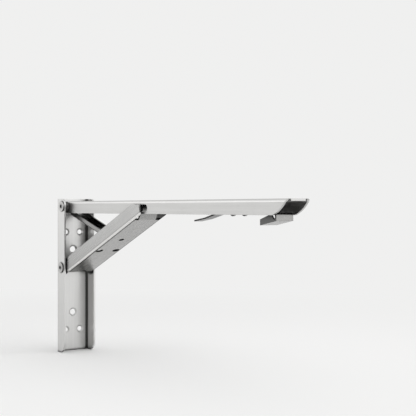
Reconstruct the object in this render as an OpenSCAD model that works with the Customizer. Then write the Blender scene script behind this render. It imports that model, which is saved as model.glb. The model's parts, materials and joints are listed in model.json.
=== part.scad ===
// Folding shelf bracket: a wall channel, a shelf arm hinged at its top, a channel strut that props
// the arm, a stay between the hinge and the strut, and a finger lever under the arm's tip.
// X points out from the wall, Y runs across the bracket and Z is up. The origin is on the wall
// face, in the middle of the screw pattern.

/* [Wall plate] */
// Overall width of the wall plate
plate_w = 30; // [28:0.2:36]
// How far the side flanges stand out from the wall
plate_depth = 14.6; // [14.2:0.2:18]
// Height of the hinge pin above the middle of the screw pattern
hinge_z = 65.6; // [60:0.2:85]
// Length of the plate below the middle of the screw pattern
plate_drop = 61.5; // [52:0.5:90]
// Sheet thickness of the wall plate
plate_t = 1.5; // [1.2:0.1:1.8]
// Height of the ears above the hinge pin
ear_rise = 6.5; // [5.6:0.1:9]

/* [Shelf arm] */
// Reach of the arm from the wall face to its tip
reach = 300; // [290:1:400]
// Height of the arm channel
arm_h = 10.3; // [9.6:0.1:10.4]
// Sheet thickness of the arm
arm_t = 1.5; // [1.2:0.1:1.6]
// Gap between the arm and the strut, each side
nest_gap = 1.5; // [1.2:0.1:2]

/* [Strut] */
// Height of the foot pivot below the hinge pin
foot_drop = 53.2; // [50:0.1:56]
// Distance from the foot pivot to the knee pin
strut_len = 130; // [118:0.5:150]
// Gap between the strut and the wall plate, each side
strut_gap = 0.5; // [0.3:0.1:0.8]
// Sheet thickness of the strut
strut_t = 1.5; // [1.2:0.1:1.5]
// Height of the strut channel
strut_h = 11.8; // [11:0.1:12.4]

/* [Stay link] */
// Distance from the foot pivot to the stay pivot, along the strut
stay_s = 72; // [66:0.5:76]
// Outer width of the stay link
stay_w = 12; // [9:0.2:12.4]

/* [Release lever] */
// Distance of the lever pivot from the wall
lever_x = 241; // [236:0.5:250]
// Width of the finger tray
tray_w = 14; // [11:0.2:15]
// Width of the lever's bar
bar_w = 8; // [7:0.2:9]

/* [Fasteners] */
// Diameter of the four small wall screw holes
screw_d = 4.2; // [3.6:0.1:5]
// Diameter of the two large wall screw holes
screw_big_d = 5.3; // [4.8:0.1:6]
// Diameter of the hinge rivet
hinge_d = 5; // [4:0.1:5]
// Diameter of the foot rivets
foot_d = 6; // [5:0.1:6.4]
// Diameter of the shelf screw holes
shelf_hole_d = 4.6; // [4:0.1:5.2]

/* [Hidden] */
$fn = 64;
steel = "silver";

// Clearances
run_gap = 0.05;   // radial, pin in hole
slip = 0.3;       // between parts that pass each other
rivet_gap = 0.4;  // between the hinge rivet and the arm's web above it
bar_gap = 0.25;   // between the lever's bar and the lowest point of the knee pin
cut = 1;          // how far a cutting shape runs past a face

// Wall plate
bend_r = 2.2;
corner_r = 9;
ear_r = 6;
edge_r = 1.5;
hole_dy = 13.4;
hole_dz = 86;
hole_big_dz = 55.4;
sink_depth = 0.8;
sink_rim = 1.1;

// Pins that carry the moving parts
hinge_x = 9.9;
foot_x = 8.4;
foot_z = hinge_z - foot_drop;
hinge = [hinge_x, 0, hinge_z];
foot = [foot_x, 0, foot_z];
head_t = 1;
head_d = 8.6;
inner_head_t = 0.9;
bore_d = 3;
bore_depth = 2.4;
bush_r = 4.2;

// Nested widths, from the outside in
plate_in = plate_w - 2 * plate_t;
strut_w = plate_in - 2 * strut_gap;
strut_in = strut_w - 2 * strut_t;
arm_w = strut_in - 2 * nest_gap;
arm_in = arm_w - 2 * arm_t;

// Arm section, heights measured from the hinge pin
arm_top = hinge_d / 2 + rivet_gap + arm_t;
arm_bottom = arm_top - arm_h;
arm_under = arm_top - arm_t;
arm_mid = (arm_top + arm_bottom) / 2;
tip_run = 13;
tip_r = 26;
lip_inset = 4;
lip_w = arm_w - 2 * lip_inset;
notch_w = 1.6;
notch_len = 4;
shelf_hole_x = 28;
shelf_hole_step = 40;
shelf_front_step = 21;
shelf_front_x = lever_x + shelf_front_step;
end_ease = 0.02;

// Strut section, in its own frame: s runs from the foot to the knee, n points down from the arm
web_n = 6.4;
top_n = web_n - strut_h;
mid_n = (web_n + top_n) / 2;
pin_r = 2.6;
knuckle_t = 1.4;
knuckle_r = pin_r + run_gap + knuckle_t;
knee_n = -1.2;
knee_s = sqrt(strut_len * strut_len - knee_n * knee_n);
knee_z = arm_under - slip - knuckle_r;
knee_x = foot_x + sqrt(strut_len * strut_len - (foot_drop + knee_z) * (foot_drop + knee_z));
strut_angle = asin((foot_drop + knee_z) / strut_len) + asin(knee_n / strut_len);
web_start = 5.6;
web_end = knee_s - 6;
flange_end = knee_s + 6.5;
end_r = 3.6;
trim_z = 1.1;
tongue_gap = 0.9;
tongue_w = arm_in - 2 * tongue_gap;
tongue_lap = 2;
tongue_step = 0.6;
curl_lap = 1;
hole_pair_s = 57.4;
hole_pair_dy = 15.4;
hole_pair_d = 6;
hole_single_s = 82;
hole_single_d = 4.5;

// Catch under the arm, just beyond the curl: it starts high and leaves the curl room to drop away
catch_w = 10;
catch_rise = 25;
catch_drop = 2.4;
catch_len = 10;
catch_edge = [knee_x + (knuckle_r + 2 * slip) * sin(catch_rise),
    knee_z + (knuckle_r + 2 * slip) * cos(catch_rise)];

// Window in each side of the arm, beside the knee
window_top = 1.2;
window_bottom = -4.5;
window_start = knee_x - 3.6;
window_end = knee_x + 13.8;

// Stay link: it turns in a small bracket on the strut, and its other end lies under the hinge rivet
stay_t = 1.2;
stay_h = 4.6;
stay_r = stay_h / 2;
stay_bend = 0.6;
stay_pin_d = 3;
stay_end_x = 1.2;
stay_end_drop = 6.4;
stay_b = [foot_x + stay_s * cos(strut_angle) + mid_n * sin(strut_angle),
    foot_z + stay_s * sin(strut_angle) - mid_n * cos(strut_angle)];
stay_a = [hinge_x + stay_end_x, hinge_z - stay_end_drop];
stay_len = norm(stay_b - stay_a);
stay_rise = atan2(stay_a[1] - stay_b[1], stay_b[0] - stay_a[0]);
stay_lug_t = 1;
stay_lug_w = 8;
stay_base_t = 1;
stay_lug_out = stay_w + 2 * slip + 2 * stay_lug_t;

// Release lever, heights measured from the hinge pin
lever_t = 1.2;
bar_top = knee_z - pin_r - bar_gap;
bar_low = bar_top - lever_t;
leaf_root = lever_x - 22;
leaf_bend = lever_x - 35;
leaf_tip = lever_x - 47;
leaf_bend_z = -8.7;
leaf_tip_z = -10.4;
leaf_t = 1;
leaf_w = 7;
leaf_lap = 2;
leaf_heel = 3;
front_x = reach - 12.8;
front_low = -9.5;
fold_r = 1.8;
tray_back = front_x - 15.7;
tray_low = -12.4;
ear_t = 1.2;
ear_back_h = 3.8;
ear_top_h = 7.2;
ear_front_h = 2.6;
ear_top_run = 10.4;
ear_run = 13.6;
lever_pin_d = 2.4;
lever_pin_lift = 2.65;
lever_pin_z = bar_top + lever_pin_lift;
lever_lug_r = 2.5;
lever_lug_run = 8;
bracket_t = 1.2;
bracket_w = bar_w + 2 * slip + 2 * bracket_t;
bracket_len = 14;
bracket_low = -6.9;
bracket_r = 3.4;
lever_pin_end = 0.5;
access_d = 5.4;

// Torsion spring of round wire on the lever pin
spring_wire = 0.7;
spring_r = 1.75;
spring_turns = 3.5;
spring_pitch = 0.85;
spring_leg = 9;
spring_sides = 8;
spring_steps = 16;

// A pin or a bore along Y
module along_y(d, len) {
    rotate([90, 0, 0]) cylinder(d = d, h = len, center = true);
}

// A side outline drawn in X and Z, given a width along Y
module across(width) {
    rotate([90, 0, 0]) translate([0, 0, -width / 2]) linear_extrude(width) children();
}

// A rectangle with its two upper corners rounded
module rounded_bar(w, h, r) {
    union() {
        translate([-w / 2 + r, -h]) square([w - 2 * r, h]);
        translate([-w / 2, -h]) square([w, h - r]);
        for (side = [-1, 1]) translate([side * (w / 2 - r), -r]) circle(r);
    }
}

// Section of a folded channel: web at the top, open below, bends of outer radius r
module channel_section(w, h, t, r) {
    difference() {
        rounded_bar(w, h, r);
        translate([0, -t]) rounded_bar(w - 2 * t, h, r - t);
    }
}

// A channel that runs along X from x0 to x1, its web on top at height 0
module channel_x(w, h, t, r, x0, x1) {
    translate([x0, 0, 0]) rotate([90, 0, 90]) linear_extrude(x1 - x0) channel_section(w, h, t, r);
}

// A tube on a pin, from y0 to y1
module sleeve(inner, outer, y0, y1) {
    translate([0, (y0 + y1) / 2, 0]) difference() {
        along_y(outer, y1 - y0);
        along_y(inner, y1 - y0 + 2 * cut);
    }
}

// Side outline of the wall plate, with round ears and round lower corners
module plate_outline() {
    top = hinge_z + ear_rise;
    bottom = -plate_drop;
    union() {
        translate([0, bottom + corner_r]) square([plate_depth, top - ear_r - bottom - corner_r]);
        translate([0, bottom]) square([plate_depth - corner_r, corner_r + cut]);
        translate([plate_depth - corner_r, bottom + corner_r]) circle(corner_r);
        translate([edge_r, top - ear_r - cut]) square([plate_depth - ear_r - edge_r, ear_r + cut]);
        translate([0, top - ear_r - cut]) square([edge_r, ear_r + cut - edge_r]);
        translate([edge_r, top - edge_r]) circle(edge_r);
        translate([plate_depth - ear_r, top - ear_r]) circle(ear_r);
    }
}

// A countersunk screw hole through the wall plate, its rim on the room side
module wall_hole(d, y, z) {
    translate([-cut, y, z]) rotate([0, 90, 0]) cylinder(d = d, h = plate_t + 2 * cut);
    translate([plate_t - sink_depth, y, z]) rotate([0, 90, 0])
        cylinder(d1 = d, d2 = d + 2 * sink_rim, h = sink_depth);
}

module wall_plate() {
    color(steel) difference() {
        intersection() {
            translate([0, 0, -plate_drop - cut]) rotate([0, 0, 90])
                linear_extrude(plate_drop + hinge_z + ear_rise + 2 * cut)
                    channel_section(plate_w, plate_depth + cut, plate_t, bend_r);
            across(plate_w + 2 * cut) plate_outline();
        }
        for (z = [-hole_dz / 2, hole_dz / 2], y = [-hole_dy / 2, hole_dy / 2])
            wall_hole(screw_d, y, z);
        for (z = [-hole_big_dz / 2, hole_big_dz / 2]) wall_hole(screw_big_d, 0, z);
        translate(hinge) along_y(hinge_d, plate_w + 2 * cut);
        translate(foot) along_y(foot_d, plate_w + 2 * cut);
    }
}

// The hinge rivet: a shank across the plate, with a dished head on each side
module hinge_rivet() {
    color(steel) translate(hinge) difference() {
        union() {
            along_y(hinge_d, plate_w + 2 * head_t);
            for (side = [-1, 1])
                translate([0, side * (plate_w + head_t) / 2, 0]) along_y(head_d, head_t);
        }
        for (side = [-1, 1]) translate([0, side * (plate_w / 2 + head_t), 0])
            along_y(bore_d, 2 * bore_depth);
    }
}

// One foot rivet: it joins one side of the plate to the strut and leaves the middle open
module foot_rivet(side) {
    inner = strut_in / 2 - inner_head_t;
    outer = plate_w / 2 + head_t;
    translate([foot_x, side * (inner + outer) / 2, foot_z]) difference() {
        union() {
            along_y(foot_d, outer - inner);
            translate([0, side * (outer - inner - head_t) / 2, 0]) along_y(head_d, head_t);
            translate([0, -side * (outer - inner - inner_head_t) / 2, 0]) along_y(head_d, inner_head_t);
        }
        translate([0, side * (outer - inner) / 2, 0]) along_y(bore_d, 2 * bore_depth);
    }
}

module foot_rivet_near() {
    color(steel) foot_rivet(-1);
}

module foot_rivet_far() {
    color(steel) foot_rivet(1);
}

module hinge_bush_near() {
    color(steel) translate(hinge)
        sleeve(hinge_d + 2 * run_gap, 2 * bush_r, -plate_in / 2 + slip, -arm_w / 2 - slip);
}

module hinge_bush_far() {
    color(steel) translate(hinge)
        sleeve(hinge_d + 2 * run_gap, 2 * bush_r, arm_w / 2 + slip, plate_in / 2 - slip);
}

// What is cut away at the tip so that each side of the arm sweeps up in an arc
module tip_cut() {
    chord = norm([tip_run, arm_h]);
    back = sqrt(tip_r * tip_r - chord * chord / 4);
    centre = [reach - tip_run / 2 - back * arm_h / chord, arm_mid + back * tip_run / chord];
    translate([0, 0, hinge_z]) across(arm_w + 2 * cut) difference() {
        translate([reach - tip_run - cut, arm_bottom - cut])
            square([tip_run + 2 * cut, arm_h + 2 * cut]);
        translate(centre) circle(tip_r);
    }
}

// Rounds the end of the arm at the hinge
module hinge_end_cut() {
    translate([0, 0, hinge_z]) across(arm_w + 2 * cut) difference() {
        translate([hinge_x - 2 * arm_h, arm_bottom - cut]) square([2 * arm_h, arm_h + 2 * cut]);
        translate([hinge_x, arm_mid]) circle(arm_h / 2 + end_ease);
    }
}

// The window beside the knee: flat on top, round at the outer end
module window_outline() {
    r = (window_top - window_bottom) / 2;
    translate([window_start, window_bottom]) square([window_end - window_start - r, 2 * r]);
    translate([window_end - r, window_bottom + r]) circle(r);
}

module shelf_arm() {
    color(steel) difference() {
        union() {
            difference() {
                translate([0, 0, hinge_z + arm_top])
                    channel_x(arm_w, arm_h, arm_t, bend_r, hinge_x - arm_h, reach);
                tip_cut();
                hinge_end_cut();
            }
            translate([reach - tip_run, -lip_w / 2, hinge_z + arm_under])
                cube([tip_run, lip_w, arm_t]);
        }
        for (y = [-lip_w / 2 - notch_w, lip_w / 2])
            translate([reach - notch_len, y, hinge_z + arm_under - cut])
                cube([notch_len + cut, notch_w, arm_t + 2 * cut]);
        for (x = [shelf_hole_x, shelf_hole_x + shelf_hole_step, shelf_hole_x + 2 * shelf_hole_step,
            shelf_front_x])
            translate([x, 0, hinge_z + arm_under - cut]) cylinder(d = shelf_hole_d, h = arm_t + 2 * cut);
        translate([0, 0, hinge_z]) across(arm_w + 2 * cut) window_outline();
        translate(hinge) along_y(hinge_d + 2 * run_gap, arm_w + 2 * cut);
    }
}

module knee_catch() {
    slope = tan(catch_rise);
    low = arm_under - catch_drop;
    start = catch_edge[0] - (arm_under - catch_edge[1]) / slope;
    corner = start + catch_drop / slope;
    color(steel) translate([0, 0, hinge_z]) across(catch_w)
        polygon([[start, arm_under], [corner, low], [corner + catch_len / 2, low],
            [corner + catch_len, arm_under]]);
}

// Puts a shape drawn in the strut's own frame at the foot pivot
module on_strut() {
    translate(foot) rotate([0, -strut_angle, 0]) children();
}

// Side outline of the strut in its own frame, round at the foot and at the knee corners
module strut_outline() {
    translate([0, -mid_n]) circle(strut_h / 2);
    translate([0, -web_n]) square([flange_end - end_r, strut_h]);
    translate([flange_end - end_r - cut, -web_n + end_r]) square([end_r + cut, strut_h - 2 * end_r]);
    for (z = [-web_n + end_r, -top_n - end_r]) translate([flange_end - end_r, z]) circle(end_r);
}

// The strut's middle at the knee: the web steps up into a curl round the knee pin
module tongue() {
    curl = knee_n + knuckle_r;
    across(tongue_w) polygon([
        [web_end - tongue_lap, -web_n], [web_end + tongue_step, -web_n], [knee_s, -curl],
        [knee_s, -curl + knuckle_t], [knee_s - curl_lap, -curl + knuckle_t],
        [web_end, -web_n + strut_t], [web_end - tongue_lap, -web_n + strut_t]]);
    translate([knee_s, 0, -knee_n]) along_y(2 * knuckle_r, tongue_w);
}

// The strut's channel: its web stops short at both ends
module strut_channel() {
    half = strut_h / 2;
    difference() {
        intersection() {
            translate([0, 0, -web_n]) rotate([180, 0, 0])
                channel_x(strut_w, strut_h, strut_t, bend_r, -half - cut, flange_end + cut);
            across(strut_w + 2 * cut) strut_outline();
        }
        translate([-half - cut, -strut_in / 2, -web_n - cut])
            cube([half + cut + web_start, strut_in, strut_t + 2 * cut]);
        translate([web_end, -strut_in / 2, -web_n - cut])
            cube([strut_len, strut_in, strut_t + 2 * cut]);
    }
}

// The strut, with the upper corners of its sides trimmed level with the open arm
module strut() {
    color(steel) difference() {
        union() {
            difference() {
                on_strut() strut_channel();
                translate([foot_x, -strut_w, hinge_z + trim_z]) cube([reach, 2 * strut_w, strut_h]);
            }
            on_strut() tongue();
        }
        on_strut() {
            translate([knee_s, 0, -knee_n]) along_y(2 * (pin_r + run_gap), arm_in);
            along_y(foot_d + 2 * run_gap, strut_w + 2 * cut);
            for (y = [-hole_pair_dy / 2, hole_pair_dy / 2]) translate([hole_pair_s, y, -web_n - cut])
                cylinder(d = hole_pair_d, h = strut_t + 2 * cut);
            translate([hole_single_s, 0, -web_n - cut])
                cylinder(d = hole_single_d, h = strut_t + 2 * cut);
        }
    }
}

module knee_pin() {
    color(steel) on_strut() translate([knee_s, 0, -knee_n]) along_y(2 * pin_r, arm_in - 2 * slip);
}

// The bracket on the strut's web that carries the stay's pivot
module stay_bracket() {
    base = -web_n + strut_t;
    color(steel) on_strut() difference() {
        union() {
            translate([stay_s - stay_lug_w / 2, -stay_lug_out / 2, base])
                cube([stay_lug_w, stay_lug_out, stay_base_t]);
            for (side = [-1, 1]) translate([0, side * (stay_lug_out - stay_lug_t) / 2, 0])
                across(stay_lug_t) union() {
                    translate([stay_s - stay_lug_w / 2, base])
                        square([stay_lug_w, -mid_n - base]);
                    translate([stay_s, -mid_n]) circle(stay_lug_w / 2);
                }
        }
        translate([stay_s, 0, -mid_n]) along_y(stay_pin_d, stay_lug_out + 2 * cut);
    }
}

module stay_pin() {
    color(steel) on_strut() translate([stay_s, 0, -mid_n]) along_y(stay_pin_d, stay_lug_out);
}

// Puts a shape at the stay's pivot, with X pointing along the stay, away from the hinge
module on_stay() {
    translate([stay_b[0], 0, stay_b[1]]) rotate([0, stay_rise, 0]) children();
}

module stay_link() {
    color(steel) on_stay() difference() {
        intersection() {
            translate([0, 0, -stay_r]) rotate([180, 0, 0])
                channel_x(stay_w, stay_h, stay_t, stay_t + stay_bend, -stay_len - stay_r, stay_r);
            across(stay_w + 2 * cut) union() {
                translate([-stay_len, -stay_r]) square([stay_len, stay_h]);
                circle(stay_r);
                translate([-stay_len, 0]) circle(stay_r);
            }
        }
        along_y(stay_pin_d + 2 * run_gap, stay_w + 2 * cut);
    }
}

// The leaf that hangs from the lever's tail, seen from the side
module lever_leaf() {
    back = leaf_root - leaf_lap;
    polygon([[leaf_root, bar_top], [leaf_root + leaf_heel, bar_low],
        [leaf_bend, leaf_bend_z - leaf_t / 2], [leaf_tip, leaf_tip_z - leaf_t / 2],
        [leaf_tip, leaf_tip_z + leaf_t / 2], [leaf_bend, leaf_bend_z + leaf_t / 2],
        [back, bar_low], [back, bar_top]]);
}

// The fold at the lever's front, the lip below it and the tray that runs back from the lip
module lever_front() {
    translate([front_x - fold_r - cut, bar_low]) square([cut, lever_t]);
    translate([front_x - fold_r, bar_top - fold_r]) intersection() {
        difference() {
            circle(fold_r);
            circle(fold_r - lever_t);
        }
        square(fold_r);
    }
    translate([front_x - lever_t, front_low]) square([lever_t, bar_top - fold_r - front_low]);
    polygon([[front_x, front_low], [front_x, front_low + lever_t], [tray_back, tray_low + lever_t],
        [tray_back, tray_low]]);
}

module tray_ear() {
    front = tray_back + ear_run;
    polygon([[tray_back, tray_low], [tray_back, tray_low + ear_back_h],
        [tray_back + ear_top_run, tray_low + ear_top_h], [front, tray_low + ear_back_h],
        [front, tray_low + ear_front_h]]);
}

module release_lever() {
    color(steel) translate([0, 0, hinge_z]) difference() {
        union() {
            across(bar_w) translate([leaf_root, bar_low])
                square([front_x - fold_r - leaf_root, lever_t]);
            across(leaf_w) lever_leaf();
            across(tray_w) lever_front();
            for (side = [-1, 1]) translate([0, side * (tray_w - ear_t) / 2, 0]) across(ear_t) tray_ear();
            for (side = [-1, 1]) translate([0, side * (bar_w - lever_t) / 2, 0]) across(lever_t)
                union() {
                    translate([lever_x - lever_lug_run / 2, bar_low])
                        square([lever_lug_run, lever_pin_z - bar_low]);
                    translate([lever_x, lever_pin_z]) circle(lever_lug_r);
                }
        }
        translate([lever_x, 0, lever_pin_z]) along_y(lever_pin_d + 2 * run_gap, bar_w + 2 * cut);
        translate([shelf_front_x, 0, bar_low - cut]) cylinder(d = access_d, h = lever_t + 2 * cut);
    }
}

// The bracket under the arm that carries the lever's pivot
module lever_bracket() {
    color(steel) translate([0, 0, hinge_z]) difference() {
        union() {
            translate([lever_x - bracket_len / 2, -bracket_w / 2, arm_under - bracket_t])
                cube([bracket_len, bracket_w, bracket_t]);
            for (side = [-1, 1]) translate([0, side * (bracket_w - bracket_t) / 2, 0])
                across(bracket_t) union() {
                    translate([lever_x - bracket_r, bracket_low + bracket_r])
                        square([2 * bracket_r, arm_under - bracket_low - bracket_r]);
                    translate([lever_x, bracket_low + bracket_r]) circle(bracket_r);
                }
        }
        translate([lever_x, 0, lever_pin_z]) along_y(lever_pin_d, bracket_w + 2 * cut);
    }
}

module lever_pin() {
    color(steel) translate([lever_x, 0, hinge_z + lever_pin_z])
        along_y(lever_pin_d, bracket_w + 2 * lever_pin_end);
}

// Path of the spring wire: a leg on the lever, the coil, and a leg under the arm
spring_n = spring_turns * spring_steps;
function spring_y(i) = (i / spring_n - 0.5) * spring_turns * spring_pitch;
function spring_turn(i) = 360 * min(max(i, 0), spring_n) / spring_steps;
function spring_at(i) = let (a = spring_turn(i), mid = [lever_x, 0, hinge_z + lever_pin_z])
    i < 0 ? mid + [spring_leg, spring_y(0), -spring_r] :
    i > spring_n ? [mid[0] + spring_leg, spring_y(spring_n),
        hinge_z + arm_under - bracket_t - spring_wire] :
    mid + [-spring_r * sin(a), spring_y(i), -spring_r * cos(a)];
function spring_ring(i) = let (a = spring_turn(i), c = spring_at(i))
    [for (k = [0:spring_sides - 1]) let (b = 360 * k / spring_sides)
        c + spring_wire / 2 * [-sin(a) * cos(b), sin(b), -cos(a) * cos(b)]];

module lever_spring() {
    rings = [for (i = [-1:spring_n + 1]) spring_ring(i)];
    points = [for (ring = rings) each ring];
    m = spring_sides;
    last = (len(rings) - 1) * m;
    sides = [for (i = [0:len(rings) - 2], k = [0:m - 1])
        [i * m + k, (i + 1) * m + k, (i + 1) * m + (k + 1) % m, i * m + (k + 1) % m]];
    ends = [[for (k = [0:m - 1]) k], [for (k = [m - 1:-1:0]) last + k]];
    color(steel) polyhedron(points, concat(sides, ends));
}

wall_plate();
hinge_rivet();
hinge_bush_near();
hinge_bush_far();
foot_rivet_near();
foot_rivet_far();
shelf_arm();
knee_catch();
strut();
knee_pin();
stay_bracket();
stay_pin();
stay_link();
release_lever();
lever_bracket();
lever_pin();
lever_spring();
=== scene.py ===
"""Folding shelf bracket in satin stainless steel, in a plain pale studio."""

import json
import logging
import math
from collections.abc import Sequence
from dataclasses import dataclass, field
from enum import Enum

import bmesh
import bpy
from mathutils import Matrix, Vector

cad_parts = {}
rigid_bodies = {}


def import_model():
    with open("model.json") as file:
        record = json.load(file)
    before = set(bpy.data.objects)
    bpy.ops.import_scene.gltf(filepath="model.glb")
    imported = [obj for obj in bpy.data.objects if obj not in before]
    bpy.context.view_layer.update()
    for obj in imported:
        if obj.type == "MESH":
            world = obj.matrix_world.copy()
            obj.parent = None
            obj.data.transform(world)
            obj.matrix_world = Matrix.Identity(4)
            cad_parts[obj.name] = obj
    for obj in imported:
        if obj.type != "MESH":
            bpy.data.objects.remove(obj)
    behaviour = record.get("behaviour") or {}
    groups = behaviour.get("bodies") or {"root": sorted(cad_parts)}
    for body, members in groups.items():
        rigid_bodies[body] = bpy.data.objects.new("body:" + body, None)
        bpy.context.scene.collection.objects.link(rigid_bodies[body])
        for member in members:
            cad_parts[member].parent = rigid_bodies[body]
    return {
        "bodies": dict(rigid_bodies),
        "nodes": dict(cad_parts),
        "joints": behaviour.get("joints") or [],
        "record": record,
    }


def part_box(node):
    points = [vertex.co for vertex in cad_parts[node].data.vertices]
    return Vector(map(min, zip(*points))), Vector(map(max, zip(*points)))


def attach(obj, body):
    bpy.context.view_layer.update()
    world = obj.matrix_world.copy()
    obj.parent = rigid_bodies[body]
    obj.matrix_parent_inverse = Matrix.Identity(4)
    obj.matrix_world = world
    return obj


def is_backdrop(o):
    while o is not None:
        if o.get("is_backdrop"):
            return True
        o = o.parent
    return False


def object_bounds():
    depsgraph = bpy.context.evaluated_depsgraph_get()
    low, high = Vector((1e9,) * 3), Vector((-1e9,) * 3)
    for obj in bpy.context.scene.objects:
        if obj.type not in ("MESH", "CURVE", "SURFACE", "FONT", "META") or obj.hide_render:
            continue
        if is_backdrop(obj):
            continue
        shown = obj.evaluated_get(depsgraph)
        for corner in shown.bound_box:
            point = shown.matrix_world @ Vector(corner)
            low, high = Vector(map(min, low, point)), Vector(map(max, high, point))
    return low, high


LOG = logging.getLogger("bracket")
MM = 0.001
IMAGE_SIZE = 416
SENSOR_MM = 36.0
WELD = 1e-6  # metres: points nearer than this become one

Node = bpy.types.Node
Socket = bpy.types.NodeSocket
Tree = bpy.types.NodeTree
Colour = tuple[float, float, float]
Point = tuple[float, float, float]
Span = tuple[float, float]
Value = Socket | float | tuple[float, ...]


class Grain(Enum):
    """The way the brushing runs on a piece, as the tilt of its long direction above the X axis."""

    ALONG_ARM = 0.0
    ALONG_STRUT = 22.93
    ALONG_STAY = -16.7
    UP_PLATE = 90.0


class Side(Enum):
    """The bracket's two sides, as the sign of their Y."""

    NEAR = -1
    FAR = 1


def new_group(name: str, inputs: dict[str, float | None], outputs: Sequence[str]) -> Tree:
    """Starts a shader node group with named sockets.

    Args:
        name: the group's name.
        inputs: each input's name with its default value, or None for a vector.
        outputs: the names of the value outputs.

    Returns:
        The node tree, with its input and output nodes in place.
    """
    tree = bpy.data.node_groups.new(name, "ShaderNodeTree")
    for label, default in inputs.items():
        kind = "NodeSocketVector" if default is None else "NodeSocketFloat"
        socket = tree.interface.new_socket(name=label, in_out="INPUT", socket_type=kind)
        if default is not None:
            socket.default_value = default
    for label in outputs:
        tree.interface.new_socket(name=label, in_out="OUTPUT", socket_type="NodeSocketFloat")
    tree.nodes.new("NodeGroupInput").name = "In"
    tree.nodes.new("NodeGroupOutput").name = "Out"
    return tree


def new_material(name: str) -> tuple[bpy.types.Material, Tree, Node]:
    """Starts a material.

    Args:
        name: the material's name.

    Returns:
        The material, its node tree and its shader node.
    """
    material = bpy.data.materials.new(name)
    material.use_nodes = True
    return material, material.node_tree, material.node_tree.nodes["Principled BSDF"]


def add_node(tree: Tree, kind: str, values: dict[str | int, Value],
             **settings: str | int | bool | Tree) -> Node:
    """Adds a shader node.

    Args:
        tree: the node tree that gets it.
        kind: the end of its type's name.
        values: for each input, a number, some numbers, or the socket that feeds it.
        settings: its own properties, which are set before its inputs.

    Returns:
        The node.
    """
    node = tree.nodes.new(f"ShaderNode{kind}")
    for name, setting in settings.items():
        setattr(node, name, setting)
    for label, value in values.items():
        if isinstance(value, Socket):
            tree.links.new(value, node.inputs[label])
        else:
            node.inputs[label].default_value = value
    return node


def object_place(tree: Tree) -> Socket:
    """Adds the Object coordinates to a node tree."""
    return add_node(tree, "TexCoord", {}).outputs["Object"]


def compute(tree: Tree, operation: str, *numbers: Socket | float, clamp: bool = False) -> Socket:
    """Adds a math node.

    Args:
        tree: the node tree that gets it.
        operation: the name of the operation.
        numbers: its numbers, each one fixed or the socket that feeds it.
        clamp: whether the result stays from 0 to 1.

    Returns:
        The result.
    """
    values = dict(enumerate(numbers))
    return add_node(tree, "Math", values, operation=operation, use_clamp=clamp).outputs["Value"]


def remap(tree: Tree, value: Socket, given: Span, wanted: Span = (0.0, 1.0),
          smooth: bool = False) -> Socket:
    """Adds a map range node.

    Args:
        tree: the node tree that gets it.
        value: the value.
        given: two values of it.
        wanted: what those two become.
        smooth: whether the change starts and ends softly.

    Returns:
        The new value, which stays between the wanted two.
    """
    values = {"Value": value, "From Min": given[0], "From Max": given[1],
              "To Min": wanted[0], "To Max": wanted[1]}
    kind = "SMOOTHSTEP" if smooth else "LINEAR"
    return add_node(tree, "MapRange", values, interpolation_type=kind).outputs["Result"]


def mix_colours(tree: Tree, factor: Socket, first: Colour | Socket, second: Colour) -> Socket:
    """Adds a mix of two colours.

    Args:
        tree: the node tree that gets it.
        factor: 0 gives the first colour and 1 the second.
        first: the first colour, fixed or the socket that feeds it.
        second: the second colour.

    Returns:
        The mixed colour.
    """
    start = first if isinstance(first, Socket) else (*first, 1.0)
    values = {"Factor": factor, "A": start, "B": (*second, 1.0)}
    return add_node(tree, "Mix", values, data_type="RGBA").outputs["Result"]


def mix_shaders(tree: Tree, factor: Socket, first: Socket, second: Socket) -> Socket:
    """Adds a mix of two shaders.

    Args:
        tree: the node tree that gets it.
        factor: 0 gives the first shader and 1 the second.
        first: the first shader.
        second: the second shader.

    Returns:
        The mixed shader.
    """
    return add_node(tree, "MixShader", {0: factor, 1: first, 2: second}).outputs["Shader"]


def seen_ray(tree: Tree) -> Socket:
    """Adds a switch that is 1 for camera, glossy and transmission rays.

    Args:
        tree: the node tree that gets it.

    Returns:
        The switch.
    """
    rays = add_node(tree, "LightPath", {}).outputs
    seen = compute(tree, "MAXIMUM", rays["Is Camera Ray"], rays["Is Glossy Ray"])
    return compute(tree, "MAXIMUM", seen, rays["Is Transmission Ray"])


@dataclass(frozen=True)
class Noise:
    """A noise pattern.

    Attributes:
        scale: its scale.
        detail: its number of octaves.
        roughness: how strong the fine octaves are.
    """

    scale: float
    detail: float = 2.0
    roughness: float = 0.5

    def add(self, tree: Tree, place: Socket) -> Socket:
        """Adds the pattern to a node tree.

        Args:
            tree: the node tree that gets it.
            place: the coordinates that it follows.

        Returns:
            The pattern's value.
        """
        values = {"Vector": place, "Scale": self.scale, "Detail": self.detail,
                  "Roughness": self.roughness}
        return add_node(tree, "TexNoise", values).outputs["Fac"]


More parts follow.
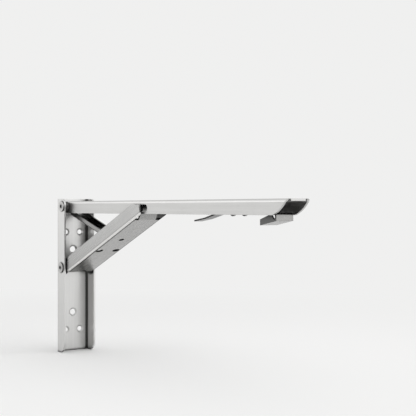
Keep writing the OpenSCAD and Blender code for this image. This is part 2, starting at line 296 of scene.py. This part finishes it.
@dataclass(frozen=True)
class BrushedGrain:
    """The grain of brushed sheet: broad bands, hair-thin lines and the height of the lines.

    Attributes:
        bands: the broad bands.
        hairs: the hair-thin lines.
        hair_share: how much of the tone comes from the lines.
        middle: the tone that the contrast leaves as it is.
    """

    bands: Noise = Noise(0.35, 3.0, 0.6)
    hairs: Noise = Noise(1.6, 5.0, 0.75)
    hair_share: float = 0.55
    middle: float = 0.5

    def build(self) -> Tree:
        """Builds the node group.

        Returns:
            The group, with a stretched Vector as its input.
        """
        tree = new_group("brushed_grain", {"Vector": None, "Contrast": 1.0}, ("Tone", "Lines"))
        source, out = tree.nodes["In"].outputs, tree.nodes["Out"].inputs
        bands = self.bands.add(tree, source["Vector"])
        hairs = self.hairs.add(tree, source["Vector"])
        mixed = add_node(tree, "Mix", {"Factor": self.hair_share, "A": bands, "B": hairs})
        centred = compute(tree, "SUBTRACT", mixed.outputs["Result"], self.middle)
        scaled = compute(tree, "MULTIPLY", centred, source["Contrast"])
        tree.links.new(compute(tree, "ADD", scaled, self.middle), out["Tone"])
        tree.links.new(hairs, out["Lines"])
        return tree


@dataclass(frozen=True)
class HandlingMarks:
    """The marks of handling: cloudy smudges and a few short scuffs.

    Attributes:
        clouds: the pattern of the smudges.
        cloud_span: where on that pattern a smudge starts, and where it is full.
        flecks: the pattern of the scuffs.
        fleck_span: where on that pattern a scuff starts, and where it is full.
    """

    clouds: Noise = Noise(38.0, 3.0, 0.55)
    cloud_span: Span = (0.42, 0.72)
    flecks: Noise = Noise(420.0)
    fleck_span: Span = (0.66, 0.74)

    def build(self) -> Tree:
        """Builds the node group.

        Returns:
            The group, with unstretched Object coordinates as its input.
        """
        tree = new_group("handling_marks", {"Vector": None, "Amount": 0.5}, ("Smudge", "Scuff"))
        source, out = tree.nodes["In"].outputs, tree.nodes["Out"].inputs
        for label, pattern, span in (("Smudge", self.clouds, self.cloud_span),
                                     ("Scuff", self.flecks, self.fleck_span)):
            mark = remap(tree, pattern.add(tree, source["Vector"]), span)
            tree.links.new(compute(tree, "MULTIPLY", mark, source["Amount"]), out[label])
        return tree


@dataclass(frozen=True)
class BendMasks:
    """The masks of a piece's two long bends: the painted highlight, and the painted dark line
    inside it.

    Attributes:
        sharpness: how fast a mask rises, per metre: 5000 is over 0.2 mm.
    """

    sharpness: float = 5000.0

    def ramp(self, tree: Tree, more: Socket, less: Socket) -> Socket:
        """Adds a mask with a soft edge.

        Args:
            tree: the node tree that gets it.
            more: a length in metres.
            less: another length.

        Returns:
            The mask, which is 0 where the first length is the shorter one.
        """
        gap = compute(tree, "SUBTRACT", more, less)
        return compute(tree, "MULTIPLY", gap, self.sharpness, clamp=True)

    def build(self) -> Tree:
        """Builds the node group.

        Returns:
            The group. Its Vector has Z square to the web, and its lengths are in metres.
        """
        lengths = {"Start": 0.01, "Crease": 0.001, "Level": 0.0, "Depth": 0.002}
        tree = new_group("bend_light_masks", {"Vector": None, **lengths}, ("Highlight", "Line"))
        source, out = tree.nodes["In"].outputs, tree.nodes["Out"].inputs
        axes = add_node(tree, "SeparateXYZ", {"Vector": source["Vector"]}).outputs
        across = compute(tree, "ABSOLUTE", axes["Y"])
        outer = self.ramp(tree, across, source["Start"])
        crease = compute(tree, "SUBTRACT", source["Start"], source["Crease"])
        inner = self.ramp(tree, across, crease)
        height = compute(tree, "ABSOLUTE", compute(tree, "SUBTRACT", axes["Z"], source["Level"]))
        near = self.ramp(tree, source["Depth"], height)
        line = compute(tree, "SUBTRACT", inner, outer)
        tree.links.new(compute(tree, "MULTIPLY", outer, near), out["Highlight"])
        tree.links.new(compute(tree, "MULTIPLY", line, near), out["Line"])
        return tree


@dataclass(frozen=True)
class HollowShade:
    """The mask of painted shade in the hollows, made from ambient occlusion.

    Whatever stands close by makes a hollow, other pieces and the floor too.

    Attributes:
        span: how open a place is where the mask is full, and where it ends.
        samples: how many directions are tried.
    """

    span: Span = (0.5, 0.96)
    samples: int = 12

    def build(self) -> Tree:
        """Builds the node group.

        Returns:
            The group, with the reach of the hollows in metres as its input.
        """
        tree = new_group("hollows", {"Reach": 0.01}, ("Mask",))
        values = {"Distance": tree.nodes["In"].outputs["Reach"]}
        # ambient occlusion of everything near, turned into a mask of painted shade
        hollow = add_node(tree, "AmbientOcclusion", values, samples=self.samples, only_local=False)
        mask = remap(tree, hollow.outputs["AO"], self.span, (1.0, 0.0), smooth=True)
        tree.links.new(mask, tree.nodes["Out"].inputs["Mask"])
        return tree


@dataclass(frozen=True)
class ShaderKit:
    """The node groups that the finishes share."""

    grain: Tree
    marks: Tree
    bends: Tree
    hollows: Tree

    @classmethod
    def build(cls) -> "ShaderKit":
        """Builds the groups once."""
        return cls(BrushedGrain().build(), HandlingMarks().build(), BendMasks().build(),
                   HollowShade().build())


@dataclass(frozen=True)
class BendLight:
    """Painted light near a piece's two long sides: a painted highlight, and painted shade just
    inside it.

    On the arm and the strut the painted highlight is on the outer bend. On the wall plate the
    painted dark line is on the inner bend. The lever has only the painted shade, on the outer
    faces of its sides.

    Attributes:
        start: from the middle of the piece to the painted highlight, in millimetres.
        crease: width of the painted dark line inside the edge, in millimetres.
        level: the middle of the painted part, along the turned Z axis, in millimetres.
        depth: how far it reaches from there both ways, in millimetres.
        line: colour of the painted dark line, a painted shade.
        edge_highlight: colour of the painted highlight on the edge.
    """

    start: float
    crease: float
    level: float
    depth: float
    # colours of the painted dark line and the painted highlight
    line: Colour = (0.1, 0.1, 0.098)
    edge_highlight: Colour = (0.82, 0.815, 0.805)


@dataclass(frozen=True)
class BrushedSteel:
    """Brushed or turned steel, its lines stretched along one direction.

    Attributes:
        name: the material's name.
        grain: the direction of the lines.
        light: the colour of the lighter lines.
        dark: the colour of the darker lines.
        roughness: the lowest and highest roughness, before the marks of handling.
        tones: the tones of the grain that have the highest and the lowest roughness.
        stretch: lines per metre along and across the grain.
        contrast: how far the lines stand out.
        handling: how strong the smudges and scuffs are.
        smudge: how much rougher a full smudge is.
        scuff: how much rougher a full scuff is.
        bump: depth of the lines, in metres.
        bump_strength: how much of that depth shows.
        edge: radius of the softened edges, in metres.
        edge_samples: how many directions the softening tries.
        hollow: how near a wall, another piece or the floor must be for painted shade, in metres.
        shade_colour: the colour of the painted shade, deep in the hollows and on the shaded end.
        bend_light: the painted highlight and painted dark line of the bends, on a piece that has
            them.
        shade_to: painted shade darkens the piece up to this X, in metres, or 0 for nowhere.
        shade_fade: how far beyond it the painted shade fades out, in metres.
    """

    name: str
    grain: Grain
    light: Colour = (0.6, 0.598, 0.59)
    dark: Colour = (0.44, 0.438, 0.432)
    roughness: Span = (0.27, 0.4)
    tones: Span = (0.25, 0.75)
    stretch: Span = (14.0, 1500.0)
    contrast: float = 1.0
    handling: float = 0.5
    smudge: float = 0.09
    scuff: float = 0.12
    bump: float = 0.00002
    bump_strength: float = 0.5
    edge: float = 0.0003
    edge_samples: int = 4
    hollow: float = 0.012
    shade_colour: Colour = (0.1, 0.099, 0.097)
    bend_light: BendLight | None = None
    shade_to: float = 0.0
    shade_fade: float = 0.006

    def paint_bend_light(self, tree: Tree, kit: ShaderKit, turned: Socket, colour: Socket) -> Socket:
        """Adds the painted highlight and the painted dark line of the bends to a colour.

        Args:
            tree: the material's node tree.
            kit: the shared node groups.
            turned: Object coordinates with X along the grain.
            colour: the colour so far.

        Returns:
            The colour with the bends.
        """
        if self.bend_light is None:
            return colour
        values = {"Vector": turned, "Start": self.bend_light.start * MM,
                  "Crease": self.bend_light.crease * MM, "Level": self.bend_light.level * MM,
                  "Depth": self.bend_light.depth * MM}
        bends = add_node(tree, "Group", values, node_tree=kit.bends).outputs
        # painted shade as a dark line inside the bend, then a painted highlight on its edge
        lined = mix_colours(tree, bends["Line"], colour, self.bend_light.line)
        return mix_colours(tree, bends["Highlight"], lined, self.bend_light.edge_highlight)

    def shade_end(self, tree: Tree, place: Socket, colour: Socket) -> Socket:
        """Adds painted shade on the end of a piece to a colour.

        Args:
            tree: the material's node tree.
            place: Object coordinates.
            colour: the colour so far.

        Returns:
            The colour with the painted shade on the end.
        """
        if not self.shade_to:
            return colour
        axes = add_node(tree, "SeparateXYZ", {"Vector": place})
        span = (self.shade_to, self.shade_to + self.shade_fade)
        # painted shade over the end of the piece, fading out along X
        end = remap(tree, axes.outputs["X"], span, (1.0, 0.0))
        return mix_colours(tree, end, colour, self.shade_colour)

    def colours(self, tree: Tree, kit: ShaderKit, place: Socket, turned: Socket,
                tone: Socket) -> Socket:
        """Adds the colour: lines, painted light of the bends, painted shade on the end and in
        hollows.

        Args:
            tree: the material's node tree.
            kit: the shared node groups.
            place: Object coordinates.
            turned: Object coordinates with X along the grain.
            tone: the tone of the grain.

        Returns:
            The colour.
        """
        lines = mix_colours(tree, tone, self.dark, self.light)
        rubbed = self.paint_bend_light(tree, kit, turned, lines)
        end_shaded = self.shade_end(tree, place, rubbed)
        # painted shade in the hollows, darkening towards the shade colour
        hollows = add_node(tree, "Group", {"Reach": self.hollow}, node_tree=kit.hollows)
        return mix_colours(tree, hollows.outputs["Mask"], end_shaded, self.shade_colour)

    def polish(self, tree: Tree, kit: ShaderKit, place: Socket, tone: Socket) -> Socket:
        """Adds the roughness, with the marks of handling.

        Args:
            tree: the material's node tree.
            kit: the shared node groups.
            place: Object coordinates.
            tone: the tone of the grain.

        Returns:
            The roughness.
        """
        low, high = self.roughness
        rough = remap(tree, tone, self.tones, (high, low))
        values = {"Vector": place, "Amount": self.handling}
        marks = add_node(tree, "Group", values, node_tree=kit.marks).outputs
        smudged = compute(tree, "MULTIPLY_ADD", marks["Smudge"], self.smudge, rough)
        return compute(tree, "MULTIPLY_ADD", marks["Scuff"], self.scuff, smudged)

    def relief(self, tree: Tree, lines: Socket) -> Socket:
        """Adds the softened edges, with the brushed lines on them.

        Args:
            tree: the material's node tree.
            lines: the height of the lines.

        Returns:
            The normal.
        """
        soft = add_node(tree, "Bevel", {"Radius": self.edge}, samples=self.edge_samples)
        values = {"Strength": self.bump_strength, "Distance": self.bump, "Height": lines,
                  "Normal": soft.outputs["Normal"]}
        return add_node(tree, "Bump", values).outputs["Normal"]

    def build(self, kit: ShaderKit) -> bpy.types.Material:
        """Builds the material.

        Args:
            kit: the shared node groups.

        Returns:
            The finished material.
        """
        material, tree, shader = new_material(self.name)
        shader.inputs["Metallic"].default_value = 1.0
        place = object_place(tree)
        values = {"Vector": place, "Rotation": (0.0, math.radians(self.grain.value), 0.0)}
        turned = add_node(tree, "Mapping", values).outputs["Vector"]
        along, across = self.stretch
        values = {"Vector": turned, "Scale": (along, across, across)}
        stretched = add_node(tree, "Mapping", values).outputs["Vector"]
        values = {"Vector": stretched, "Contrast": self.contrast}
        grain = add_node(tree, "Group", values, node_tree=kit.grain).outputs
        colour = self.colours(tree, kit, place, turned, grain["Tone"])
        rough = self.polish(tree, kit, place, grain["Tone"])
        tree.links.new(colour, shader.inputs["Base Color"])
        tree.links.new(rough, shader.inputs["Roughness"])
        tree.links.new(self.relief(tree, grain["Lines"]), shader.inputs["Normal"])
        return material


@dataclass(frozen=True)
class MattSurface:
    """A matt surface with a faint pattern.

    Attributes:
        name: the material's name.
        colour: its colour.
        pattern: the pattern.
        shade: how much of the colour is left in the pattern's dark places.
        roughness: its roughness.
    """

    name: str
    colour: Colour
    pattern: Noise
    shade: float
    roughness: float

    def build(self) -> bpy.types.Material:
        """Builds the material.

        Returns:
            The finished material.
        """
        material, tree, shader = new_material(self.name)
        shader.inputs["Roughness"].default_value = self.roughness
        pattern = self.pattern.add(tree, object_place(tree))
        red, green, blue = self.colour
        dark = (self.shade * red, self.shade * green, self.shade * blue)
        mixed = mix_colours(tree, pattern, dark, self.colour)
        tree.links.new(mixed, shader.inputs["Base Color"])
        return material


@dataclass(frozen=True)
class StudioPaper(MattSurface):
    """The pale paper of the floor, which runs into the background's colour far away.

    Attributes:
        shine: how strongly it reflects.
        background: the colour of the background.
        fade: where the fade into the background starts and ends, in metres from the bracket.
    """

    name: str = "studio_paper"
    colour: Colour = (0.86, 0.86, 0.855)
    pattern: Noise = Noise(1.5)
    shade: float = 0.985
    roughness: float = 0.9
    shine: float = 0.1
    background: Colour = (0.87, 0.87, 0.865)
    fade: Span = (0.12, 0.6)

    def build(self) -> bpy.types.Material:
        """Builds the material, with its fade.

        Returns:
            The finished material.
        """
        material = super().build()
        tree = material.node_tree
        shader = tree.nodes["Principled BSDF"]
        shader.inputs["Specular IOR Level"].default_value = self.shine
        far = add_node(tree, "Emission", {"Color": (*self.background, 1.0)})
        values = {"Vector": object_place(tree)}
        distance = add_node(tree, "VectorMath", values, operation="LENGTH")
        fade = remap(tree, distance.outputs["Value"], self.fade, smooth=True)
        amount = compute(tree, "MULTIPLY", fade, seen_ray(tree))
        surface = mix_shaders(tree, amount, shader.outputs["BSDF"], far.outputs["Emission"])
        tree.links.new(surface, tree.nodes["Material Output"].inputs["Surface"])
        return material


PIN_STRETCH = (300.0, 900.0)
# The plate's dark line in its inner bends and its near-black hollows are painted shade.
PLATE_STEEL = BrushedSteel(
    "plate_steel", Grain.UP_PLATE, light=(0.7, 0.698, 0.69), dark=(0.54, 0.538, 0.532),
    roughness=(0.26, 0.38), hollow=0.0028, shade_colour=(0.05, 0.0495, 0.0485),
    bend_light=BendLight(start=13.5, crease=1.3, level=-2.6, depth=1.3,
                  line=(0.09, 0.0895, 0.088), edge_highlight=(0.6, 0.598, 0.59)))
# The arm's brighter outer bends are a painted highlight, and its hollows take painted shade.
ARM_STEEL = BrushedSteel(
    "arm_steel", Grain.ALONG_ARM, hollow=0.02, shade_colour=(0.44, 0.438, 0.432),
    bend_light=BendLight(start=9.1, crease=0.0, level=68.7, depth=0.8, edge_highlight=(0.72, 0.716, 0.709)))
# Painted shade: the strut is darker than the plate's same steel, with painted bend light and
# hollow shade.
STRUT_STEEL = BrushedSteel(
    "strut_steel", Grain.ALONG_STRUT, light=(0.46, 0.458, 0.453), dark=(0.34, 0.339, 0.335),
    roughness=(0.2, 0.32), hollow=0.03, shade_colour=(0.07, 0.0695, 0.0685),
    bend_light=BendLight(start=11.5, crease=1.0, level=1.75, depth=1.6, line=(0.03, 0.03, 0.029)))
# Painted shade: the stay is darker than the plate's same steel.
STAY_STEEL = BrushedSteel(
    "stay_steel", Grain.ALONG_STAY, light=(0.36, 0.358, 0.353), dark=(0.18, 0.179, 0.176),
    roughness=(0.2, 0.32))
# Painted shade: the lever is darker than the plate's same steel, its leaf and side faces darker
# still.
LEVER_STEEL = BrushedSteel(
    "lever_steel", Grain.ALONG_ARM, light=(0.37, 0.367, 0.36), dark=(0.22, 0.218, 0.214),
    roughness=(0.16, 0.28), stretch=(30.0, 1400.0), shade_colour=(0.028, 0.0277, 0.0273),
    shade_to=0.225, bend_light=BendLight(start=8.0, crease=1.3, level=0.0, depth=1000.0))
RIVET_STEEL = BrushedSteel(
    "rivet_steel", Grain.UP_PLATE, light=(0.56, 0.555, 0.55), dark=(0.4, 0.397, 0.39),
    roughness=(0.22, 0.34), stretch=PIN_STRETCH)
# Painted shade: the pins are darker than the rivets, for the shaded places they sit in.
PIN_STEEL = BrushedSteel(
    "pin_steel", Grain.UP_PLATE, light=(0.27, 0.268, 0.263), dark=(0.15, 0.149, 0.146),
    roughness=(0.18, 0.28), stretch=PIN_STRETCH)
# Near-black steel for the hinge bushes and the knee pin: painted shade.
SHADED_STEEL = BrushedSteel(
    "shaded_steel", Grain.UP_PLATE, light=(0.11, 0.109, 0.107), dark=(0.05, 0.0495, 0.0485),
    roughness=(0.25, 0.4), stretch=PIN_STRETCH)
WIRE_STEEL = BrushedSteel(
    "wire_steel", Grain.ALONG_ARM, light=(0.27, 0.268, 0.263), dark=(0.15, 0.149, 0.146),
    roughness=(0.25, 0.35), stretch=(500.0, 900.0), edge=0.0001)
FLAG_CLOTH = MattSurface("flag_cloth", (0.02, 0.02, 0.02), Noise(900.0), shade=0.6, roughness=0.95)


def finish_mesh(name: str, shape: bmesh.types.BMesh) -> bpy.types.Object:
    """Turns a bmesh into a linked object at the origin.

    Args:
        name: the piece's name.
        shape: the bmesh, in the frame's metres; it is freed.

    Returns:
        The new object.
    """
    bmesh.ops.remove_doubles(shape, verts=shape.verts, dist=WELD)
    bmesh.ops.recalc_face_normals(shape, faces=shape.faces)
    mesh = bpy.data.meshes.new(name)
    shape.to_mesh(mesh)
    shape.free()
    for polygon in mesh.polygons:
        polygon.use_smooth = True
    piece = bpy.data.objects.new(name, mesh)
    bpy.context.scene.collection.objects.link(piece)
    return piece


def pin_end(node: str, side: Side) -> Point:
    """Finds the middle of one end of a pin or rivet.

    Args:
        node: its CAD node.
        side: the end that is wanted.

    Returns:
        The point, in metres.
    """
    low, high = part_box(node)
    end = high if side is Side.FAR else low
    return (low[0] + high[0]) / 2, end[1], (low[2] + high[2]) / 2


@dataclass
class Workshop:
    """The loaded frame, with the materials made so far.

    Attributes:
        frame: the loaded frame.
        kit: the node groups that the finishes share.
        made: each finish's material.
    """

    frame: dict
    kit: ShaderKit
    made: dict[BrushedSteel, bpy.types.Material] = field(default_factory=dict)

    def material(self, finish: BrushedSteel) -> bpy.types.Material:
        """Gives a finish's material, built at its first use.

        Args:
            finish: the finish.

        Returns:
            Its material.
        """
        if finish not in self.made:
            self.made[finish] = finish.build(self.kit)
        return self.made[finish]

    def dress(self, finish: BrushedSteel, *nodes: str) -> None:
        """Gives CAD nodes their material.

        Args:
            finish: the finish of all of them.
            nodes: the names of the nodes.
        """
        for node in nodes:
            mesh = self.frame["nodes"][node].data
            mesh.materials.clear()
            mesh.materials.append(self.material(finish))
            LOG.info("%s: %s", node, finish.name)

    def add(self, piece: bpy.types.Object, body: str, finish: BrushedSteel) -> None:
        """Puts a new piece on its body, in its finish.

        Args:
            piece: the piece.
            body: the CAD body that it rides on.
            finish: its finish.
        """
        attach(piece, body)
        piece.data.materials.append(self.material(finish))
        LOG.info("%s: %s, %d faces", piece.name, finish.name, len(piece.data.polygons))


@dataclass
class WallPlateAssembly:
    """The wall plate with its bushes and rivets, whose dimples get rolled rims.

    Attributes:
        rim_radius: from a rivet's axis to the middle of the bead, in millimetres.
        rim_bead: half the bead's thickness, in millimetres.
        rim_sink: how far the bead's middle lies inside the head's face, in millimetres.
        rim_steps: how many steps the bead takes round the rivet.
        bead_sides: how many sides the bead has.
        plate: the plate's finish.
        rivet: the rivets' finish.
        bush: the bushes' finish, near-black as painted shade.
    """

    rim_radius: float = 2.0
    rim_bead: float = 0.42
    rim_sink: float = 0.1
    rim_steps: int = 48
    bead_sides: int = 14
    plate: BrushedSteel = PLATE_STEEL
    rivet: BrushedSteel = RIVET_STEEL
    bush: BrushedSteel = SHADED_STEEL

    def rim(self, name: str, node: str, side: Side) -> bpy.types.Object:
        """Builds one rim on a rivet's head.

        Args:
            name: the piece's name.
            node: the rivet's CAD node.
            side: the side that the head is on.

        Returns:
            The rim.
        """
        x, y, z = pin_end(node, side)
        shape = bmesh.new()
        ring = bmesh.ops.create_circle(shape, segments=self.bead_sides, radius=self.rim_bead * MM)
        quarter = Matrix.Rotation(math.pi / 2, 3, "Z")
        bmesh.ops.rotate(shape, verts=ring["verts"], cent=(0, 0, 0), matrix=quarter)
        bmesh.ops.translate(shape, verts=ring["verts"], vec=(self.rim_radius * MM, 0, 0))
        bmesh.ops.spin(shape, geom=shape.verts[:] + shape.edges[:], cent=(0, 0, 0),
                       axis=(0, 1, 0), angle=2 * math.pi, steps=self.rim_steps, use_merge=True)
        sink = side.value * self.rim_sink * MM
        bmesh.ops.translate(shape, verts=shape.verts, vec=(x, y - sink, z))
        return finish_mesh(name, shape)

    def build(self, shop: Workshop) -> None:
        """Dresses the plate, its bushes and its rivets, and adds the rims.

        Args:
            shop: the workshop.
        """
        shop.dress(self.plate, "wall_plate")
        shop.dress(self.bush, "hinge_bush_near", "hinge_bush_far")
        shop.dress(self.rivet, "hinge_rivet", "foot_rivet_near", "foot_rivet_far")
        for name, node, side in (
            ("hinge_rim_near", "hinge_rivet", Side.NEAR),
            ("hinge_rim_far", "hinge_rivet", Side.FAR),
            ("foot_rim_near", "foot_rivet_near", Side.NEAR),
            ("foot_rim_far", "foot_rivet_far", Side.FAR),
        ):
            shop.add(self.rim(name, node, side), "wall", self.rivet)


@dataclass
class ShelfArmAssembly:
    """The shelf arm with its knee catch and the lever's bracket, pin and spring.

    Attributes:
        end_radius: of the pin's peened end, in millimetres.
        end_height: how far the peened end stands out, in millimetres.
        end_steps: how many steps it takes round the pin.
        arm: the arm's finish.
        bracket: the finish of the lever's bracket.
        pin: the finish of the catch and the pin.
        pin_end: the finish of the peened ends.
        spring: the spring's finish.
    """

    end_radius: float = 1.5
    end_height: float = 0.5
    end_steps: int = 28
    arm: BrushedSteel = ARM_STEEL
    bracket: BrushedSteel = LEVER_STEEL
    pin: BrushedSteel = PIN_STEEL
    pin_end: BrushedSteel = RIVET_STEEL
    spring: BrushedSteel = WIRE_STEEL

    def peened_end(self, name: str, node: str, side: Side) -> bpy.types.Object:
        """Builds one domed end of a pin.

        Args:
            name: the piece's name.
            node: the pin's CAD node.
            side: the side that the end is on.

        Returns:
            The domed end.
        """
        shape = bmesh.new()
        bmesh.ops.create_uvsphere(shape, u_segments=self.end_steps,
                                  v_segments=self.end_steps // 2, radius=self.end_radius * MM)
        flatten = (1.0, self.end_height / self.end_radius, 1.0)
        bmesh.ops.scale(shape, verts=shape.verts, vec=flatten)
        inward = -side.value
        bmesh.ops.bisect_plane(shape, geom=shape.verts[:] + shape.edges[:] + shape.faces[:],
                               plane_co=(0, inward * self.end_height * MM / 2, 0),
                               plane_no=(0, inward, 0), clear_outer=True)
        bmesh.ops.holes_fill(shape, edges=[edge for edge in shape.edges if edge.is_boundary])
        bmesh.ops.translate(shape, verts=shape.verts, vec=pin_end(node, side))
        return finish_mesh(name, shape)

    def build(self, shop: Workshop) -> None:
        """Dresses the arm and what it carries, and adds the pin's ends.

        Args:
            shop: the workshop.
        """
        shop.dress(self.arm, "shelf_arm")
        shop.dress(self.pin, "knee_catch", "lever_pin")
        shop.dress(self.bracket, "lever_bracket")
        shop.dress(self.spring, "lever_spring")
        for name, side in (("lever_pin_end_near", Side.NEAR), ("lever_pin_end_far", Side.FAR)):
            shop.add(self.peened_end(name, "lever_pin", side), "arm", self.pin_end)


@dataclass
class StrutAssembly:
    """The strut with its knee pin and the stay's bracket and pin.

    Attributes:
        strut: the strut's finish.
        knee: the knee pin's finish, near-black as painted shade.
        bracket: the finish of the stay's bracket.
        pin: the finish of the stay's pin.
    """

    strut: BrushedSteel = STRUT_STEEL
    knee: BrushedSteel = SHADED_STEEL
    bracket: BrushedSteel = STAY_STEEL
    pin: BrushedSteel = PIN_STEEL

    def build(self, shop: Workshop) -> None:
        """Dresses the strut and what it carries.

        Args:
            shop: the workshop.
        """
        shop.dress(self.strut, "strut")
        shop.dress(self.knee, "knee_pin")
        shop.dress(self.bracket, "stay_bracket")
        shop.dress(self.pin, "stay_pin")


@dataclass
class StayAssembly:
    """The stay link between the strut and the wall plate.

    Attributes:
        link: the link's finish.
    """

    link: BrushedSteel = STAY_STEEL

    def build(self, shop: Workshop) -> None:
        """Dresses the link."""
        shop.dress(self.link, "stay_link")


@dataclass
class LeverAssembly:
    """The release lever under the arm's front end.

    Attributes:
        lever: the lever's finish.
    """

    lever: BrushedSteel = LEVER_STEEL

    def build(self, shop: Workshop) -> None:
        """Dresses the lever."""
        shop.dress(self.lever, "release_lever")


@dataclass
class StudioCamera:
    """The level camera that took the photograph, found by fitting it to the bracket's edges.

    Attributes:
        turn: how far its view is turned from the bracket's long direction, in degrees.
        focal_px: its focal length in pixels of the photograph.
        horizon_px: the row of the photograph at the camera's height.
        side: distance of the near corner of the wall plate from the view's axis, in millimetres.
        distance: distance of that corner along the view's axis, in millimetres.
        drop: height of the camera below the hinge rivet, in millimetres.
        clip: the nearest distance that it sees, in metres.
    """

    turn: float = 35.811
    focal_px: float = 879.24
    horizon_px: float = 207.79
    side: float = -132.51
    distance: float = 770.83
    drop: float = 1.29
    clip: float = 0.01

    def build(self) -> bpy.types.Object:
        """Makes the camera the scene's own.

        Returns:
            The camera.
        """
        angle = math.radians(self.turn)
        right = Vector((math.sin(angle), math.cos(angle), 0.0))
        ahead = Vector((-math.cos(angle), math.sin(angle), 0.0))
        plate_low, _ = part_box("wall_plate")
        rivet_low, rivet_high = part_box("hinge_rivet")
        corner = Vector((plate_low[0], plate_low[1], (rivet_low[2] + rivet_high[2]) / 2))
        place = corner - right * self.side * MM - ahead * self.distance * MM
        place.z -= self.drop * MM
        data = bpy.data.cameras.new("studio_camera")
        data.sensor_width = SENSOR_MM
        data.lens = self.focal_px * SENSOR_MM / IMAGE_SIZE
        data.shift_y = (self.horizon_px - IMAGE_SIZE / 2) / IMAGE_SIZE
        data.clip_start = self.clip
        camera = bpy.data.objects.new("studio_camera", data)
        facing = Matrix((right, Vector((0, 0, 1)), -ahead)).transposed()
        camera.matrix_world = Matrix.Translation(place) @ facing.to_4x4()
        bpy.context.scene.collection.objects.link(camera)
        bpy.context.scene.camera = camera
        return camera


@dataclass(frozen=True)
class SoftBox:
    """One large soft lamp.

    Attributes:
        name: its name.
        place: where it stands, in metres.
        target: the point it faces, in metres.
        size: width and height, in metres.
        watts: its power.
        mirrored: whether the steel reflects it.
    """

    name: str
    place: Point
    target: Point
    size: Span
    watts: float
    mirrored: bool = True

    def build(self) -> bpy.types.Object:
        """Adds the lamp to the scene.

        Returns:
            The lamp.
        """
        data = bpy.data.lights.new(self.name, "AREA")
        data.shape = "RECTANGLE"
        data.size, data.size_y = self.size
        data.energy = self.watts
        lamp = bpy.data.objects.new(self.name, data)
        facing = (Vector(self.target) - Vector(self.place)).to_track_quat("-Z", "Y")
        lamp.matrix_world = Matrix.Translation(self.place) @ facing.to_matrix().to_4x4()
        lamp.visible_glossy = self.mirrored
        bpy.context.scene.collection.objects.link(lamp)
        return lamp


@dataclass
class Studio:
    """The pale floor, the lamps, the world, and a dark flag behind the camera.

    Attributes:
        reach: radius of the floor, in metres.
        floor_sides: how many sides the floor has.
        paper: the floor's material.
        cloth: the flag's material.
        fill: brightness of the world as light on the floor.
        flag_size: width and height of the flag, in metres.
        flag_back: how far behind the camera the flag hangs, in metres.
        boxes: the lamps.
    """

    reach: float = 12.0
    floor_sides: int = 96
    paper: StudioPaper = StudioPaper()
    cloth: MattSurface = FLAG_CLOTH
    fill: float = 0.5
    flag_size: Span = (0.22, 0.4)
    flag_back: float = 0.15
    boxes: tuple[SoftBox, ...] = (
        SoftBox("over", (0.3, -0.2, 1.5), (0.12, 0.0, 0.0), (2.2, 2.2), 11.5, mirrored=False),
        SoftBox("right", (1.4, 1.0, 0.5), (0.05, 0.0, 0.0), (2.8, 2.2), 11.0, mirrored=False),
        SoftBox("right_card", (1.33, 0.95, 0.48), (0.05, 0.0, 0.0), (2.8, 2.2), 14.0),
        SoftBox("over_card", (0.29, -0.18, 1.4), (0.12, 0.0, 0.0), (2.2, 2.2), 3.0),
        SoftBox("left", (-1.2, -1.2, 0.5), (0.12, 0.0, 0.0), (1.2, 1.2), 2.5),
    )

    def floor(self, level: float) -> bpy.types.Object:
        """Builds the round floor.

        Args:
            level: the height of the floor, in metres.

        Returns:
            The floor.
        """
        shape = bmesh.new()
        bmesh.ops.create_circle(shape, cap_ends=True, segments=self.floor_sides,
                                radius=self.reach)
        bmesh.ops.translate(shape, verts=shape.verts, vec=(0, 0, level))
        floor = finish_mesh("studio_floor", shape)
        floor.data.materials.append(self.paper.build())
        floor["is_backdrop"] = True
        return floor

    def flag(self, camera: bpy.types.Object) -> bpy.types.Object:
        """Hangs the dark flag behind the camera, where only reflections see it.

        Args:
            camera: the scene's camera.

        Returns:
            The flag.
        """
        shape = bmesh.new()
        bmesh.ops.create_grid(shape, x_segments=1, y_segments=1, size=0.5)  # one metre square
        width, height = self.flag_size
        bmesh.ops.scale(shape, verts=shape.verts, vec=(width, height, 1.0))
        bmesh.ops.translate(shape, verts=shape.verts, vec=(0, 0, self.flag_back))
        bmesh.ops.transform(shape, matrix=camera.matrix_world, verts=shape.verts)
        flag = finish_mesh("studio_flag", shape)
        flag.data.materials.append(self.cloth.build())
        flag.visible_camera = False
        flag.visible_diffuse = False
        flag.visible_shadow = False
        flag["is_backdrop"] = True
        return flag

    def light(self) -> None:
        """Sets the world, pale to the camera and in reflections, and adds the lamps."""
        world = bpy.data.worlds.new("studio_world")
        world.use_nodes = True
        tree = world.node_tree
        fill = tree.nodes["Background"]
        fill.inputs["Color"].default_value = (self.fill, self.fill, self.fill, 1.0)
        seen = add_node(tree, "Background", {"Color": (*self.paper.background, 1.0)})
        backgrounds = (fill.outputs["Background"], seen.outputs["Background"])
        surface = mix_shaders(tree, seen_ray(tree), *backgrounds)
        tree.links.new(surface, tree.nodes["World Output"].inputs["Surface"])
        bpy.context.scene.world = world
        for box in self.boxes:
            box.build()


def main() -> None:
    """Dresses the bracket, adds its small details and sets up the studio."""
    logging.basicConfig(level=logging.INFO, format="%(name)s: %(message)s")
    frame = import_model()
    cad_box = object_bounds()
    shop = Workshop(frame, ShaderKit.build())
    for sub_assembly in (WallPlateAssembly, ShelfArmAssembly, StrutAssembly, StayAssembly,
                         LeverAssembly):
        sub_assembly().build(shop)
    bpy.context.scene.view_settings.view_transform = "Standard"
    camera = StudioCamera().build()
    studio = Studio()
    studio.floor(cad_box[0][2])
    studio.flag(camera)
    studio.light()


if __name__ == "__main__":
    main()
